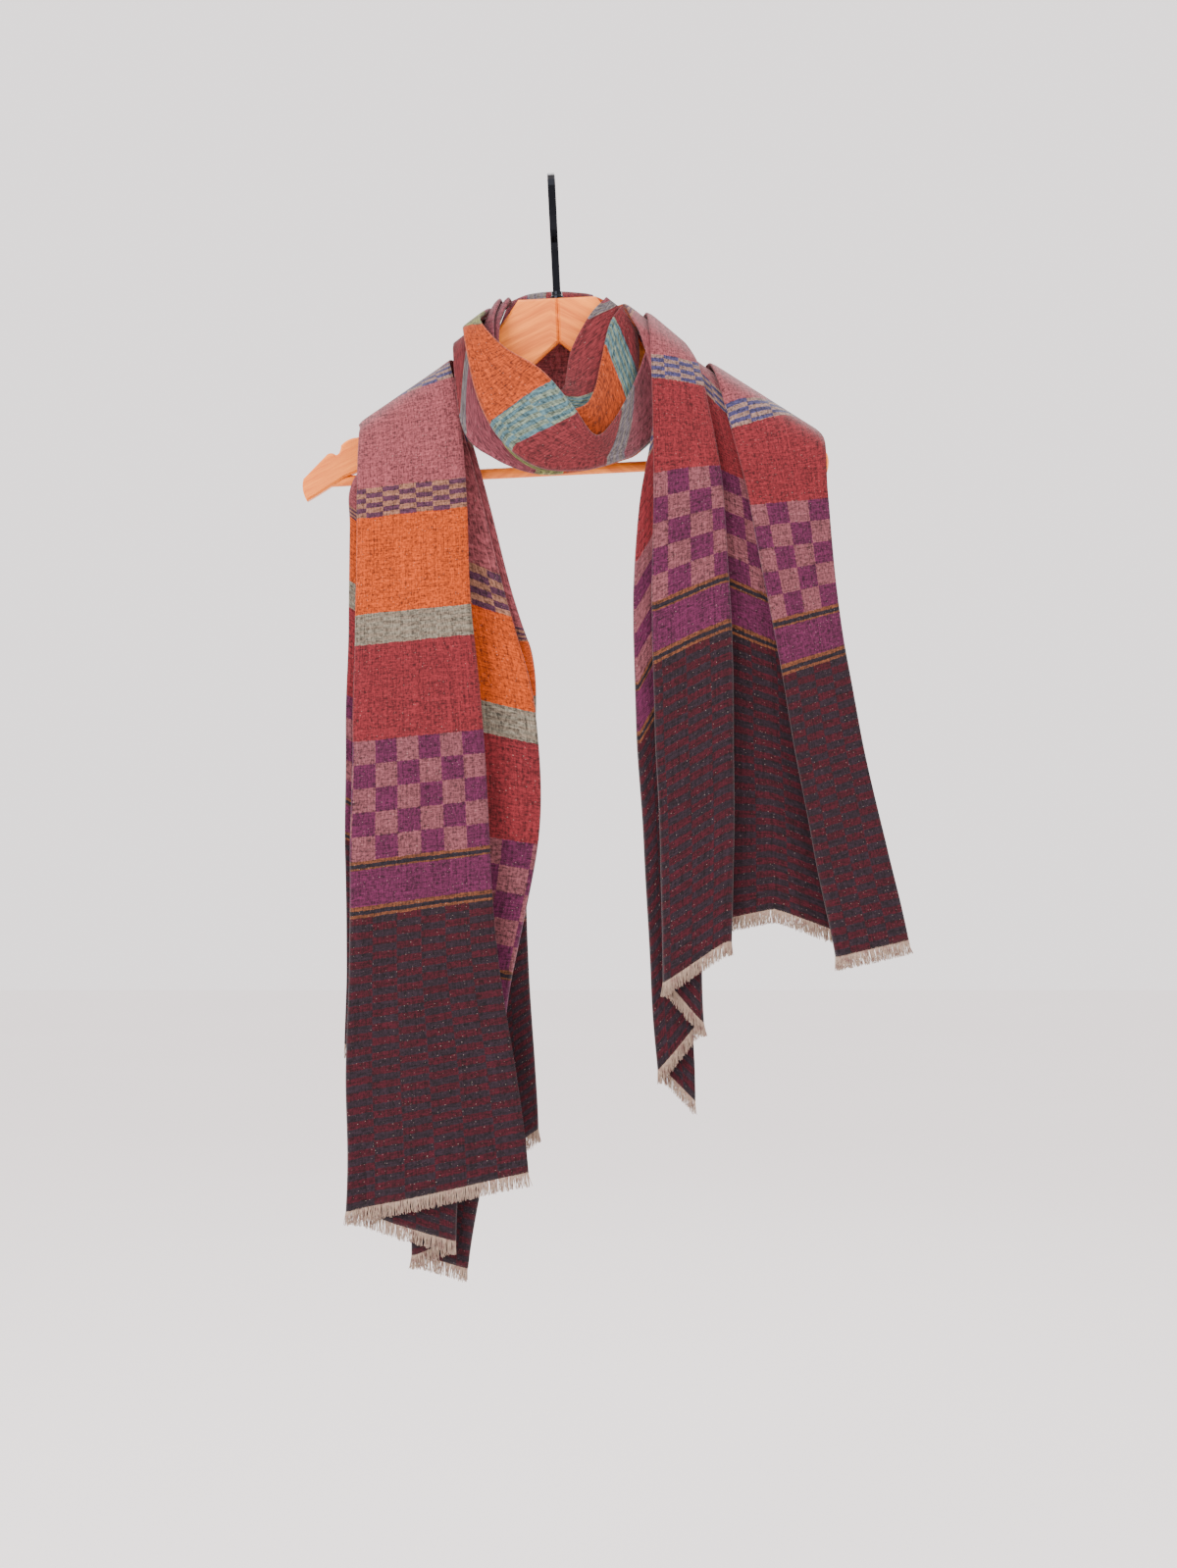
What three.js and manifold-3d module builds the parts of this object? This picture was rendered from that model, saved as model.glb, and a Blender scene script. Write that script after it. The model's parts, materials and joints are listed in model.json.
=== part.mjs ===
// A pashmina shawl wound once round the neck of a wooden hanger, both tails hanging in front.
// Millimetres. +Z is up, +X to the right, and the front faces -Y. The origin is the hook's seat,
// the top of the rail that the hanger hangs from. The hanger leans a little in its own plane.
//
// The shawl is one cloth in stretches: the left tail comes up over the left arm and runs behind the
// neck as the inner wrap, crosses the front as the cowl, runs behind the neck again as the outer wrap
// and comes down over the right arm as the right tail. The cowl has a front part and an inner part.
// Each stretch is a sheet folded along lines that run with the cloth, so each is a short table with
// one row for each fold.
import * as THREE from "three";
import { mergeVertices } from "three/addons/utils/BufferGeometryUtils.js";
import Module from "manifold-3d";

const wasm = await Module();
wasm.setup();

// ---- Driving dimensions -------------------------------------------------------------------------
const WALL = 1.2; // cloth, thickened to a wall that collides
const SEAM = 0.35; // gap left between pieces that meet
const TURN_STEPS = 3; // facets round one fold
const PANEL_STEPS = 2; // facets across one flat panel between folds

const FRINGE = { gap: 1, strip: 3, length: 9.5, root: 2.4, tip: 1.3, flatness: 0.36, perSide: 84, spread: 0.22 };

const LEAN = THREE.MathUtils.degToRad(2.8); // the heavier left tail pulls that end of the hanger down
const HANGER = {
  halfWidth: 225.5, // from the middle to the tip of an arm
  armDepth: 14,
  armBevel: 1.8,
  blockTop: -104, // top of the wood, below the hook's seat
  blockHalf: 33,
  mitreGap: 0.4,
  barRadius: 4.6,
  barDrop: -250,
  barHalf: 200,
  boreGap: 0.3, // between the bar and the blind bores that hold its ends
};
const HOOK = { width: 6.5, thickness: 3, seatRadius: 18, neck: -62, tail: -31 };
const FERRULE = { radius: 5.4, height: 6 };

// ---- Fold tables --------------------------------------------------------------------------------
// Stations lie along a stretch. `along` is the cloth's length from the hem (or from the first seam),
// `depth` is the Y of the front layer, `lean` turns the direction in which layers are stacked (0 puts
// the next layer behind, 90 below, 180 in front), `pitch` is the distance between layers, and `cuts`
// is the number of steps to the next station. In a fold's row, x and z have one value for each
// station, and `layer` is the layer of the panel that runs from this fold to the next.
const LEFT_TAIL = {
  stations: {
    name: ["hem", "dark", "check", "grey", "purple", "shoulder", "brow", "crest", "rear", "nape"],
    along: [0, 240, 384, 490, 598, 662, 688, 712, 736, 790],
    depth: [-66, -64, -60, -56, -49, -36, -25, 0, 26, 27],
    lean: [0, 0, 0, 0, 4, 16, 48, 90, 132, 160],
    pitch: [8.4, 7.8, 7, 6.2, 5, 3.8, 2.9, 2.5, 2.9, 3],
    cuts: [4, 3, 2, 2, 2, 1, 2, 3, 2],
  },
  folds: [
    { fold: "front selvedge", layer: 0,
      x: [-19, -47, -56, -66, -71, -78, -84, -86, -80, -61],
      z: [-841, -613, -471, -367, -260, -190, -166, -156, -153, -139] },
    { fold: "left front", layer: 1,
      x: [-172, -170, -167, -165, -164, -164, -164, -163, -126, -92],
      z: [-875, -630, -482, -377, -271, -229, -218, -212, -229, -216] },
    { fold: "middle crease", layer: 2,
      x: [-77, -78, -78, -81, -87, -98, -108, -112, -96.5, -72],
      z: [-901, -691, -517, -410, -303, -207, -181, -174, -180, -166] },
    { fold: "left inner", layer: 3,
      x: [-117, -116, -114, -114, -117, -124, -128, -130, -106, -79],
      z: [-915, -700, -559, -447, -336, -219, -194, -187, -197, -184] },
    { fold: "right inner", layer: 4,
      x: [-68, -35, -8, -11, -38, -78, -91, -97, -88, -67],
      z: [-927, -708, -564, -460, -350, -198, -170, -163.5, -167, -152] },
    { fold: "hidden left turn", layer: 5,
      x: [-110, -90, -72, -76, -96, -108, -112, -114, -99, -73],
      z: [-872, -650, -530, -440, -354, -209, -184, -176, -184, -170] },
    { fold: "right rear", layer: 6,
      x: [-11, -18, -12, -13, -30, -74, -88, -92, -84.5, -65],
      z: [-810, -602, -501, -418, -356, -196, -168, -160, -161, -148] },
    { fold: "rear selvedge",
      x: [-175, -175, -172, -171, -168, -140, -128, -124, -103, -80],
      z: [-739, -518, -385, -302, -258, -220, -195, -183, -193, -186] },
  ],
};

const RIGHT_TAIL = {
  stations: {
    name: ["hem", "dark", "check", "blue", "shoulder", "brow", "crest", "rear", "nape"],
    along: [0, 240, 384, 470, 505, 528, 548, 572, 640],
    depth: [-62, -61, -60, -60, -50, -32, -2, 27, 44],
    lean: [0, 0, 0, 4, 18, 52, 90, 130, 168],
    pitch: [10, 8.5, 6, 4.2, 3.8, 3.2, 3, 3.3, 3.4],
    cuts: [4, 3, 2, 1, 1, 1, 1, 2],
  },
  folds: [
    { fold: "right selvedge", layer: 0,
      x: [300, 246, 232, 230, 229, 226, 222, 215, 118],
      z: [-647, -409, -278, -240, -228, -220, -214, -221, -222] },
    { fold: "outer panel's left edge", layer: 1,
      x: [237, 191, 165, 148, 140, 136, 133, 124, 82],
      z: [-662, -427, -284, -215, -180, -165, -157, -166, -178] },
    { fold: "hidden right turn", layer: 2,
      x: [262, 222, 196, 178, 168, 160, 154, 143, 90],
      z: [-645, -415, -282, -226, -195, -180, -171, -179, -190] },
    { fold: "valley", layer: 2,
      x: [189, 181, 167, 150, 142, 136, 131, 121, 78],
      z: [-622, -412, -275, -215, -181, -165, -156, -164, -170] },
    { fold: "step's left turn", layer: 1,
      x: [138, 138, 134, 124, 118, 112, 108, 99, 66],
      z: [-632, -400, -270, -196, -164, -148, -139, -146, -148] },
    { fold: "step's right turn", layer: 0,
      x: [153, 153, 146, 134, 127, 121, 116, 107, 70],
      z: [-650, -404, -272, -202, -169, -153, -144, -152, -156] },
    { fold: "left front", layer: 1,
      x: [94, 85, 84, 83, 82, 81, 80, 74, 50],
      z: [-684, -419, -264, -172, -140, -125, -113, -116, -110] },
    { fold: "inner turn", layer: 2,
      x: [131, 122, 116, 108, 103, 98, 95, 87, 58],
      z: [-719, -430, -275, -188, -154, -137, -125, -130, -126] },
    { fold: "left rear", layer: 3,
      x: [89, 70, 72, 86, 75, 69, 65, 57, 38],
      z: [-760, -440, -290, -190, -136, -116, -101, -100, -94] },
    { fold: "rear selvedge",
      x: [121, 120, 112, 106, 96, 88, 82, 75, 46],
      z: [-786, -460, -300, -206, -156, -131, -115, -118, -110] },
  ],
};

const COWL_FRONT = {
  stations: {
    name: ["right", "r2", "r3", "r4", "middle", "l3", "l2", "l1", "brow", "crest", "rear", "nape"],
    along: [0, 25, 50, 75, 105, 145, 185, 225, 260, 285, 310, 350],
    depth: [-29, -37, -54, -76, -92, -91, -80, -63, -44, -8, 39, 51.5],
    lean: [0, 0, 0, 0, 0, 0, 0, 6, 30, 90, 140, 172],
    pitch: [3, 3.6, 4.4, 5.4, 6.2, 6, 5, 3.8, 2.9, 2.9, 3.9, 4.2],
    cuts: [2, 2, 2, 2, 2, 2, 2, 2, 2, 2, 2],
  },
  folds: [
    { fold: "lower selvedge", layer: 4,
      x: [94.1, 90.4, 72.2, 55.9, 32.2, -4.1, -40.6, -67.9, -73.8, -73.7, -67.1, -50.4],
      z: [-162, -208.8, -234.1, -240.2, -247.4, -247.4, -233.7, -206.5, -138.9, -133, -127.5, -132.8] },
    { fold: "lower edge", layer: 3,
      x: [101, 95, 74, 58, 29, -10, -47, -74, -84, -83, -76, -55],
      z: [-173, -221, -247, -253, -260, -259, -245, -218, -147, -142, -137, -145] },
    { fold: "hidden lower turn", layer: 2,
      x: [90.1, 86.8, 70.2, 54.1, 33.6, -2, -32.6, -53.9, -60.8, -62.1, -57.7, -46.6],
      z: [-155.3, -199.9, -224.1, -233.1, -242.4, -241.7, -219, -179.8, -128.3, -121.7, -117.1, -122] },
    { fold: "main fold's lower edge", layer: 0,
      x: [98, 92, 72, 56, 30, -9, -40, -61, -73, -73, -68, -52],
      z: [-168, -214, -239, -248, -257, -255, -232, -193, -137, -132, -128, -136] },
    { fold: "neck edge", layer: 1,
      x: [83, 75, 66, 52, 37, 18, -7, -39, -59, -53, -48, -38],
      z: [-144, -168, -190, -216, -229, -204, -174, -152, -127, -113, -107, -100] },
    { fold: "hollow's turn",
      x: [89.4, 79.2, 67.5, 53.5, 34.1, 12.4, -12.9, -44.7, -68.8, -61.7, -56.3, -42.3],
      z: [-154.2, -179.3, -201.9, -227.9, -240.6, -214.6, -184.4, -162.6, -134, -121.3, -115.7, -111.2] },
  ],
};

const COWL_INNER = {
  stations: {
    name: ["right", "r2", "r3", "r4", "middle", "l3", "l2", "l1", "brow", "crest", "rear"],
    along: [0, 25, 50, 75, 105, 145, 185, 225, 260, 285, 310],
    depth: [-18, -23, -34, -48, -62, -70, -62, -45, -27, -2, 21],
    lean: [0, 0, 0, 0, 0, 0, 0, 6, 30, 90, 100],
    pitch: [2.8, 3.4, 3.8, 4.6, 5.4, 5.4, 4.6, 3.6, 2.8, 2.3, 2.5],
    cuts: [2, 2, 2, 2, 2, 2, 2, 2, 2, 2],
  },
  folds: [
    { fold: "hollow's seam", layer: 0,
      x: [63, 74, 73, 63, 42, 12, -22, -52, -57, -47.6, -47.3],
      z: [-118, -140, -176, -213, -237, -231, -197, -178, -135, -108.2, -108.3] },
    { fold: "second neck fold", layer: 1,
      x: [60, 50, 43, 38, 29, 10, -13, -42, -48, -44, -42.5],
      z: [-112, -128, -160, -184, -201, -203, -178, -160, -126, -104.5, -103.5] },
    { fold: "inner turn", layer: 2,
      x: [62.2, 68, 65.5, 57.5, 40.2, 10, -19.8, -49.5, -54.8, -46.7, -46.1],
      z: [-116.5, -137, -170.5, -199, -218.2, -218.8, -190, -173.5, -132.8, -107.3, -107.1] },
    { fold: "third neck fold", layer: 3,
      x: [47, 33, 18, 14, 12, 3, -14, -41, -44, -40, -38],
      z: [-104, -120, -150, -172, -184, -190, -175, -157, -122, -100.5, -99] },
    { fold: "inner selvedge",
      x: [57.4, 59.6, 53.8, 46.5, 32.8, 7.6, -19.2, -48.2, -52.4, -44.9, -44],
      z: [-113.1, -133, -165.6, -192.8, -210, -212.1, -187.4, -170.6, -130.4, -105.5, -105] },
  ],
};

const OUTER_WRAP = {
  stations: {
    name: ["left", "back left", "middle", "back right", "right"],
    along: [0, 35, 75, 115, 150],
    depth: [51.5, 67, 71, 66, 47],
    lean: [172, 178, 180, 178, 168],
    pitch: [3.6, 4.2, 4.6, 4.2, 3.4],
    cuts: [2, 2, 2, 2],
  },
  folds: [
    { fold: "inner selvedge", layer: 3,
      x: [-54.4, -26, 4, 34, 63.5], z: [-146, -151, -154, -152, -150] },
    { fold: "top edge", layer: 0,
      x: [-36.8, -20, 4, 26, 35.6], z: [-100, -91, -88, -90, -94] },
    { fold: "pleat's lower turn", layer: 1,
      x: [-50.6, -25, 5, 34, 58], z: [-136, -139, -143, -142, -140] },
    { fold: "pleat's upper turn", layer: 2,
      x: [-46, -23, 5, 33, 52], z: [-124, -126, -128, -128, -126] },
    { fold: "lower edge", layer: 3,
      x: [-65.8, -29, 6, 42, 82], z: [-176, -196, -206, -204, -188] },
    { fold: "lower selvedge",
      x: [-59.6, -28, 6, 40, 71], z: [-160, -166, -170, -170, -167] },
  ],
};

const INNER_WRAP = {
  stations: {
    name: ["left", "back left", "middle", "back right", "right"],
    along: [0, 35, 75, 115, 140],
    depth: [27, 39, 42, 38, 29],
    lean: [160, 176, 180, 178, 172],
    pitch: [3.2, 3.8, 4.2, 3.8, 3],
    cuts: [2, 2, 2, 2],
  },
  folds: [
    { fold: "inner selvedge", layer: 3,
      x: [-72, -28, 4, 32, 52], z: [-169, -175, -178, -172, -166] },
    { fold: "top edge", layer: 0,
      x: [-59.8, -28, 4, 30, 46], z: [-139, -120, -112, -116, -124] },
    { fold: "pleat's lower turn", layer: 1,
      x: [-67.5, -28, 4, 31, 50], z: [-158, -159, -158, -156, -154] },
    { fold: "pleat's upper turn", layer: 2,
      x: [-62.7, -28, 4, 31, 49], z: [-146, -145, -144, -144, -144] },
    { fold: "lower edge",
      x: [-86.1, -30, 4, 34, 56], z: [-204, -216, -218, -206, -188] },
  ],
};

// ---- Cloth --------------------------------------------------------------------------------------

// A smooth value at `at` through values that stand at the given knots.
function through(knots, values, at) {
  let i = 0;
  while (i < knots.length - 2 && at > knots[i + 1]) i += 1;
  const slope = (k) => {
    const before = Math.max(k - 1, 0);
    const after = Math.min(k + 1, knots.length - 1);
    return (values[after] - values[before]) / (knots[after] - knots[before]);
  };
  const span = knots[i + 1] - knots[i];
  const t = (at - knots[i]) / span;
  const t2 = t * t;
  const t3 = t2 * t;
  return (2 * t3 - 3 * t2 + 1) * values[i] + (t3 - 2 * t2 + t) * span * slope(i)
    + (3 * t2 - 2 * t3) * values[i + 1] + (t3 - t2) * span * slope(i + 1);
}

// The cloth's middle line across a stretch, at one length along it.
function section(stretch, at) {
  const { along, depth, lean, pitch } = stretch.stations;
  const angle = THREE.MathUtils.degToRad(through(along, lean, at));
  const step = through(along, pitch, at);
  const front = through(along, depth, at);
  const bases = stretch.folds.map((fold) => new THREE.Vector3(
    through(along, fold.x, at), front, through(along, fold.z, at)));
  const line = bases[1].clone().sub(bases[0]).normalize();
  const stack = new THREE.Vector3(0, Math.cos(angle), -Math.sin(angle));
  stack.addScaledVector(line, -stack.dot(line)).normalize();
  const layers = stretch.folds.map((fold) => fold.layer);
  const last = bases.length - 1;
  const points = [];
  bases.forEach((base, i) => {
    const before = base.clone().addScaledVector(stack, step * (i > 0 ? layers[i - 1] : layers[0]));
    const after = base.clone().addScaledVector(stack, step * (i < last ? layers[i] : layers[i - 1]));
    if (i > 0) {
      const previous = points[points.length - 1];
      const inset = i < last && layers[i] !== layers[i - 1] ? step / 2 : 0;
      const start = before.clone().addScaledVector(outward(bases, i), -inset);
      for (let k = 1; k < PANEL_STEPS; k += 1) {
        points.push(previous.clone().lerp(start, k / PANEL_STEPS));
      }
    }
    if (i === 0 || i === last || before.distanceTo(after) < 1e-6) {
      points.push(before);
      return;
    }
    const middle = before.clone().lerp(after, 0.5);
    const radius = before.distanceTo(after) / 2;
    const across = after.clone().sub(before).normalize();
    const out = outward(bases, i);
    middle.addScaledVector(out, -radius);
    for (let k = 0; k <= TURN_STEPS; k += 1) {
      const turn = -Math.PI / 2 + (Math.PI * k) / TURN_STEPS;
      points.push(middle.clone()
        .addScaledVector(out, radius * Math.cos(turn))
        .addScaledVector(across, radius * Math.sin(turn)));
    }
  });
  return points;
}

// The way a fold points: away from the panels that meet in it.
function outward(bases, i) {
  return bases[i].clone().sub(bases[i - 1]).normalize();
}

// The lengths at which a stretch is cut into sections.
function cutLengths(stations) {
  const lengths = [stations.along[0]];
  stations.cuts.forEach((count, i) => {
    for (let k = 1; k <= count; k += 1) {
      lengths.push(THREE.MathUtils.lerp(stations.along[i], stations.along[i + 1], k / count));
    }
  });
  return lengths;
}

// A closed wall of the given thickness about a grid of points, rows by columns.
function wallAbout(grid, thickness) {
  const rows = grid.length;
  const columns = grid[0].length;
  const positions = [];
  const difference = (a, b) => b.clone().sub(a);
  const sides = [-thickness / 2, thickness / 2];
  sides.forEach((side) => {
    for (let r = 0; r < rows; r += 1) {
      for (let c = 0; c < columns; c += 1) {
        const down = difference(grid[Math.max(r - 1, 0)][c], grid[Math.min(r + 1, rows - 1)][c]);
        const over = difference(grid[r][Math.max(c - 1, 0)], grid[r][Math.min(c + 1, columns - 1)]);
        const normal = down.cross(over).normalize();
        positions.push(...grid[r][c].clone().addScaledVector(normal, side).toArray());
      }
    }
  });
  const at = (side, r, c) => (side * rows + r) * columns + c;
  const index = [];
  const quad = (a, b, c, d) => index.push(a, b, c, a, c, d);
  for (let r = 0; r < rows - 1; r += 1) {
    for (let c = 0; c < columns - 1; c += 1) {
      quad(at(1, r, c), at(1, r + 1, c), at(1, r + 1, c + 1), at(1, r, c + 1));
      quad(at(0, r, c), at(0, r, c + 1), at(0, r + 1, c + 1), at(0, r + 1, c));
    }
    quad(at(0, r, 0), at(0, r + 1, 0), at(1, r + 1, 0), at(1, r, 0));
    const end = columns - 1;
    quad(at(1, r, end), at(1, r + 1, end), at(0, r + 1, end), at(0, r, end));
  }
  for (let c = 0; c < columns - 1; c += 1) {
    quad(at(1, 0, c), at(1, 0, c + 1), at(0, 0, c + 1), at(0, 0, c));
    const end = rows - 1;
    quad(at(0, end, c), at(0, end, c + 1), at(1, end, c + 1), at(1, end, c));
  }
  const geometry = new THREE.BufferGeometry();
  geometry.setAttribute("position", new THREE.Float32BufferAttribute(positions, 3));
  geometry.setIndex(index);
  return facingOut(geometry);
}

// The same closed mesh with its faces pointing out.
function facingOut(geometry) {
  const p = geometry.getAttribute("position");
  const index = geometry.getIndex().array;
  const [a, b, c] = [new THREE.Vector3(), new THREE.Vector3(), new THREE.Vector3()];
  let volume = 0;
  for (let i = 0; i < index.length; i += 3) {
    a.fromBufferAttribute(p, index[i]);
    b.fromBufferAttribute(p, index[i + 1]);
    c.fromBufferAttribute(p, index[i + 2]);
    volume += a.dot(b.cross(c));
  }
  if (volume < 0) {
    for (let i = 0; i < index.length; i += 3) [index[i], index[i + 1]] = [index[i + 1], index[i]];
  }
  return geometry;
}

function clothStretch(stretch) {
  return wallAbout(cutLengths(stretch.stations).map((at) => section(stretch, at)), WALL);
}

// ---- Fringe -------------------------------------------------------------------------------------

function toSolid(geometry) {
  const bare = new THREE.BufferGeometry();
  bare.setAttribute("position", geometry.getAttribute("position"));
  if (geometry.getIndex()) bare.setIndex(geometry.getIndex());
  const merged = mergeVertices(bare, 1e-4);
  return new wasm.Manifold(new wasm.Mesh({
    numProp: 3,
    vertProperties: Float32Array.from(merged.getAttribute("position").array),
    triVerts: Uint32Array.from(merged.getIndex().array),
  }));
}

function toGeometry(solid) {
  const mesh = solid.getMesh();
  const geometry = new THREE.BufferGeometry();
  geometry.setAttribute("position", new THREE.Float32BufferAttribute(mesh.vertProperties, 3));
  geometry.setIndex(Array.from(mesh.triVerts));
  return geometry;
}

// A tapered strand with three sides, from a root point along a direction.
function strand(root, direction, side, length) {
  const geometry = new THREE.CylinderGeometry(FRINGE.tip / 2, FRINGE.root / 2, length, 3, 1);
  geometry.rotateY(Math.PI / 6);
  geometry.scale(1, 1, FRINGE.flatness);
  geometry.translate(0, length / 2, 0);
  const depth = direction.clone().cross(side).normalize();
  const over = direction.clone().cross(depth).normalize();
  geometry.applyMatrix4(new THREE.Matrix4().makeBasis(over, direction, depth));
  geometry.translate(root.x, root.y, root.z);
  return geometry;
}

// The fringe of one hem: a narrow strip just below the hem with its strands fused to it.
function fringe(stretch) {
  const hem = section(stretch, 0);
  const above = section(stretch, 12);
  const down = hem.map((point, i) => point.clone().sub(above[i]).normalize());
  const row = (distance) => hem.map((point, i) => point.clone().addScaledVector(down[i], distance));
  const strip = wallAbout([row(FRINGE.gap), row(FRINGE.gap + FRINGE.strip)], WALL);
  const lengths = [0];
  for (let i = 1; i < hem.length; i += 1) {
    lengths.push(lengths[i - 1] + hem[i].distanceTo(hem[i - 1]));
  }
  const total = lengths[hem.length - 1];
  const solids = [toSolid(strip)];
  for (let k = 0; k < FRINGE.perSide; k += 1) {
    const at = (total * (k + 0.5)) / FRINGE.perSide;
    let i = 1;
    while (lengths[i] < at) i += 1;
    const share = (at - lengths[i - 1]) / (lengths[i] - lengths[i - 1]);
    const side = hem[i].clone().sub(hem[i - 1]).normalize();
    const way = down[i - 1].clone().lerp(down[i], share).normalize();
    const root = hem[i - 1].clone().lerp(hem[i], share).addScaledVector(way, FRINGE.gap + 1.2);
    way.addScaledVector(side, FRINGE.spread * Math.sin(2.4 * k)).normalize();
    const length = FRINGE.length * (0.88 + 0.12 * Math.sin(1.7 * k));
    solids.push(toSolid(strand(root, way, side, length)));
  }
  return toGeometry(wasm.Manifold.union(solids));
}

// ---- Hanger -------------------------------------------------------------------------------------

// The outline of the right arm, from the mitre at the middle to the rounded tip with its notch.
function armOutline() {
  const { halfWidth, blockTop, blockHalf, mitreGap } = HANGER;
  const outline = new THREE.Shape();
  outline.moveTo(mitreGap / 2, blockTop - 37);
  outline.lineTo(mitreGap / 2, blockTop);
  outline.lineTo(blockHalf, blockTop);
  outline.quadraticCurveTo(56, -136, 81, -159);
  outline.quadraticCurveTo(95, -202, 176, -214);
  outline.quadraticCurveTo(184, -214, 190, -220);
  outline.quadraticCurveTo(191, -228, 195, -228);
  outline.quadraticCurveTo(198, -225, 202, -227);
  outline.lineTo(halfWidth - 2, -247);
  outline.quadraticCurveTo(halfWidth + 1, -256, halfWidth - 4, -266);
  outline.quadraticCurveTo(206, -258, 188, -247);
  outline.quadraticCurveTo(85, -215, mitreGap / 2, blockTop - 37);
  return outline;
}

function armGeometry() {
  const { armDepth, armBevel, barRadius, barHalf, boreGap } = HANGER;
  const geometry = new THREE.ExtrudeGeometry(armOutline(), {
    depth: armDepth - 2 * armBevel,
    curveSegments: 6,
    bevelThickness: armBevel,
    bevelSize: armBevel,
    bevelOffset: -armBevel,
    bevelSegments: 1,
  });
  geometry.translate(0, 0, armBevel - armDepth / 2);
  geometry.rotateX(Math.PI / 2);
  const bore = barAlongX(barRadius + boreGap, barHalf + boreGap);
  return toGeometry(toSolid(geometry).subtract(toSolid(bore)));
}

// The left arm is the right one mirrored, with its faces turned to point out again.
function mirroredArm() {
  const geometry = armGeometry();
  geometry.scale(-1, 1, 1);
  return facingOut(geometry);
}

function barAlongX(radius, halfLength) {
  const geometry = new THREE.CylinderGeometry(radius, radius, 2 * halfLength, 14);
  geometry.rotateZ(Math.PI / 2);
  geometry.translate(0, 0, HANGER.barDrop);
  return geometry;
}

// The hook is a flat strap. It rises from the ferrule, steps forward and goes back over the rail.
function hookCurve() {
  const { seatRadius, thickness, neck, tail } = HOOK;
  const radius = seatRadius + thickness / 2;
  const bottom = HANGER.blockTop + FERRULE.height + SEAM;
  const points = [
    new THREE.Vector3(0, 0, bottom),
    new THREE.Vector3(0, 0, (bottom + neck) / 2),
    new THREE.Vector3(0, 0, neck),
    new THREE.Vector3(0, -radius * 0.62, neck + 18),
  ];
  const arcSteps = 10;
  for (let k = 0; k <= arcSteps; k += 1) {
    const turn = Math.PI - (Math.PI * k) / arcSteps;
    points.push(new THREE.Vector3(0, radius * Math.cos(turn), radius * Math.sin(turn) - seatRadius));
  }
  points.push(new THREE.Vector3(0, radius * 1.08, tail));
  return new THREE.CatmullRomCurve3(points);
}

function hookGeometry() {
  const { width, thickness } = HOOK;
  const section = new THREE.Shape();
  const chamfer = 0.7;
  section.moveTo(-thickness / 2, -width / 2 + chamfer);
  section.lineTo(-thickness / 2 + chamfer, -width / 2);
  section.lineTo(thickness / 2 - chamfer, -width / 2);
  section.lineTo(thickness / 2, -width / 2 + chamfer);
  section.lineTo(thickness / 2, width / 2 - chamfer);
  section.lineTo(thickness / 2 - chamfer, width / 2);
  section.lineTo(-thickness / 2 + chamfer, width / 2);
  section.lineTo(-thickness / 2, width / 2 - chamfer);
  return new THREE.ExtrudeGeometry(section, { steps: 26, extrudePath: hookCurve() });
}

function ferruleGeometry() {
  const { radius, height } = FERRULE;
  const profile = [
    new THREE.Vector2(0, 0),
    new THREE.Vector2(radius, 0),
    new THREE.Vector2(radius, height * 0.35),
    new THREE.Vector2(radius * 0.82, height * 0.5),
    new THREE.Vector2(radius * 0.82, height),
    new THREE.Vector2(0, height),
  ];
  const geometry = new THREE.LatheGeometry(profile, 16);
  geometry.rotateX(Math.PI / 2);
  geometry.translate(0, 0, HANGER.blockTop + SEAM / 2);
  return geometry;
}

// ---- Assembly -----------------------------------------------------------------------------------
const WOOD = new THREE.MeshStandardMaterial({ color: 0xd9a066, roughness: 0.55 });
const STEEL = new THREE.MeshStandardMaterial({ color: 0x2b2d30, roughness: 0.2, metalness: 1 });
const cloth = (color) => new THREE.MeshStandardMaterial({ color, roughness: 0.95 });

function part(name, geometry, material) {
  const mesh = new THREE.Mesh(geometry, material);
  mesh.name = name;
  return mesh;
}

const hanger = new THREE.Group();
hanger.rotation.y = -LEAN;
hanger.add(
  part("hanger_arm_right", armGeometry(), WOOD),
  part("hanger_arm_left", mirroredArm(), WOOD),
  part("hanger_bar", barAlongX(HANGER.barRadius, HANGER.barHalf), WOOD),
  part("hanger_ferrule", ferruleGeometry(), STEEL),
  part("hanger_hook", hookGeometry(), STEEL),
);

const shawl = new THREE.Group();
shawl.add(
  part("shawl_left_tail", clothStretch(LEFT_TAIL), cloth(0xa3483f)),
  part("shawl_inner_wrap", clothStretch(INNER_WRAP), cloth(0x8c2f3a)),
  part("shawl_cowl_front", clothStretch(COWL_FRONT), cloth(0xb04a5c)),
  part("shawl_cowl_inner", clothStretch(COWL_INNER), cloth(0xc4622f)),
  part("shawl_outer_wrap", clothStretch(OUTER_WRAP), cloth(0x94414e)),
  part("shawl_right_tail", clothStretch(RIGHT_TAIL), cloth(0x7b3045)),
  part("fringe_left", fringe(LEFT_TAIL), cloth(0xcbb9a4)),
  part("fringe_right", fringe(RIGHT_TAIL), cloth(0xcbb9a4)),
);

const model = new THREE.Group();
model.add(hanger, shawl);
export default model;
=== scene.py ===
"""A pashmina shawl wound once round the neck of a wooden hanger.

Each stretch of the shawl is a sheet folded along lines that run with the cloth. A stretch has a
table of stations along it and one row for each fold, in millimetres, in the frame of the model:
+Z up, the front facing -Y, and the origin at the hook's seat.
"""
import json
import math
import random

import bpy
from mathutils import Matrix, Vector, noise


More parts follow.
